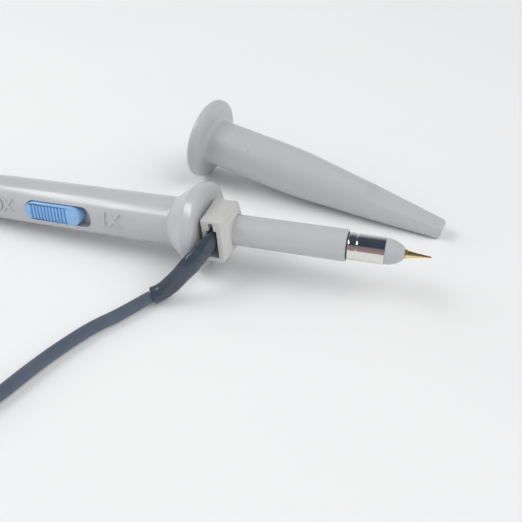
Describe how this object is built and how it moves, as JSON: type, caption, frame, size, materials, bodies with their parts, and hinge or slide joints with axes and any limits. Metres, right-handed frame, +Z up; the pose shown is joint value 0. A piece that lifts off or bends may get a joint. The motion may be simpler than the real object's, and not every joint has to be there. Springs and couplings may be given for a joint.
{
  "type": "passive oscilloscope probe",
  "caption": "Pencil-shaped passive oscilloscope probe with finger guard, slide attenuation switch, ground lead on a collar, and its retractable hook cap lying beside it.",
  "frame": {"origin": "middle of the footprint of the probe and its cap, on the bench surface they lie on", "axes": "+X along the probe from handle to needle point, +Y from the probe towards the cap, +Z up from the bench"},
  "size_m": [0.118, 0.1, 0.0191],
  "materials": {
    "grey_plastic": "satin moulded ABS, light neutral grey",
    "cap_plastic": "satin moulded ABS, light cool grey",
    "collar_plastic": "satin moulded nylon, light warm grey",
    "nose_plastic": "satin moulded acetal, mid grey",
    "blue_plastic": "satin moulded ABS, light blue",
    "nickel": "bright nickel plate on turned brass",
    "gold": "gold plate over nickel, polished",
    "brass": "turned brass, bare",
    "white_plastic": "natural white fluoropolymer and acetal",
    "resistor_lacquer": "dipped resistor lacquer, blue",
    "tinned_wire": "tinned copper wire",
    "board_laminate": "glass-epoxy laminate with green resist",
    "capacitor_ceramic": "fired ceramic chip, tan",
    "chip_black": "black epoxy coating",
    "spring_steel": "bright spring steel",
    "dark_plastic": "satin moulded plastic, dark grey",
    "heat_shrink": "shrunk polyolefin sleeve, satin, dark slate",
    "lead_insulation": "extruded soft PVC, satin, dark slate",
    "clip_steel": "nickel-plated pressed steel"
  },
  "bodies": {
    "handle": {"handle_shell": "grey_plastic", "base_ground_ring": "nickel", "barrel_sleeve": "grey_plastic", "ground_barrel": "nickel", "front_bush": "brass", "inner_insulator": "white_plastic", "nose_insulator": "nose_plastic", "needle_socket": "brass", "probe_needle": "gold", "tip_resistor": "resistor_lacquer", "centre_conductor": "tinned_wire", "circuit_board": "board_laminate", "trim_capacitor": "capacitor_ceramic", "damping_resistor": "chip_black", "switch_contacts": "gold", "detent_spring": "spring_steel", "cable_ferrule": "brass", "rear_gland": "dark_plastic", "ground_lead": "lead_insulation", "clip_lower_jaw": "clip_steel", "clip_pivot_pin": "clip_steel", "clip_spring": "spring_steel", "clip_crimp": "clip_steel"},
    "switch": {"switch_knob": "blue_plastic", "switch_wiper": "spring_steel"},
    "collar": {"ground_collar": "collar_plastic", "collar_contact": "brass", "heat_shrink_sleeve": "heat_shrink"},
    "clip_jaw": {"clip_upper_jaw": "clip_steel"},
    "cap": {"cap_sleeve": "cap_plastic", "cap_spring": "spring_steel"},
    "hook": {"hook_core": "white_plastic", "hook_wire": "brass", "needle_contact": "brass", "barrel_grip": "nickel"}
  },
  "joints": [
    {"name": "switch_slide", "type": "slide", "parent": "handle", "child": "switch", "axis": [0.9982, 0, 0.0599], "range_m": [0, 0.0022]},
    {"name": "collar_turn", "type": "hinge", "parent": "handle", "child": "collar", "pos_m": [0.0169, -0.0131, 0.00885], "axis": [0.9982, 0, 0.0599], "range_deg": [-45, 0]},
    {"name": "clip_open", "type": "hinge", "parent": "handle", "child": "clip_jaw", "pos_m": [-0.0477, -0.0381, 0.003], "axis": [1, 0, 0], "range_deg": [0, 20], "stiffness_Nm_per_rad": 0.004, "springref_deg": -20.05},
    {"name": "cap_lift", "type": "slide", "parent": "handle", "child": "cap", "axis": [0, 0, 1], "range_m": [0, 0.04]},
    {"name": "hook_slide", "type": "slide", "parent": "cap", "child": "hook", "axis": [0.9772, -0.1635, -0.1355], "range_m": [0, 0.005], "stiffness_N_per_m": 150, "springref_m": -0.002, "deforming": ["cap_spring"]}
  ]
}
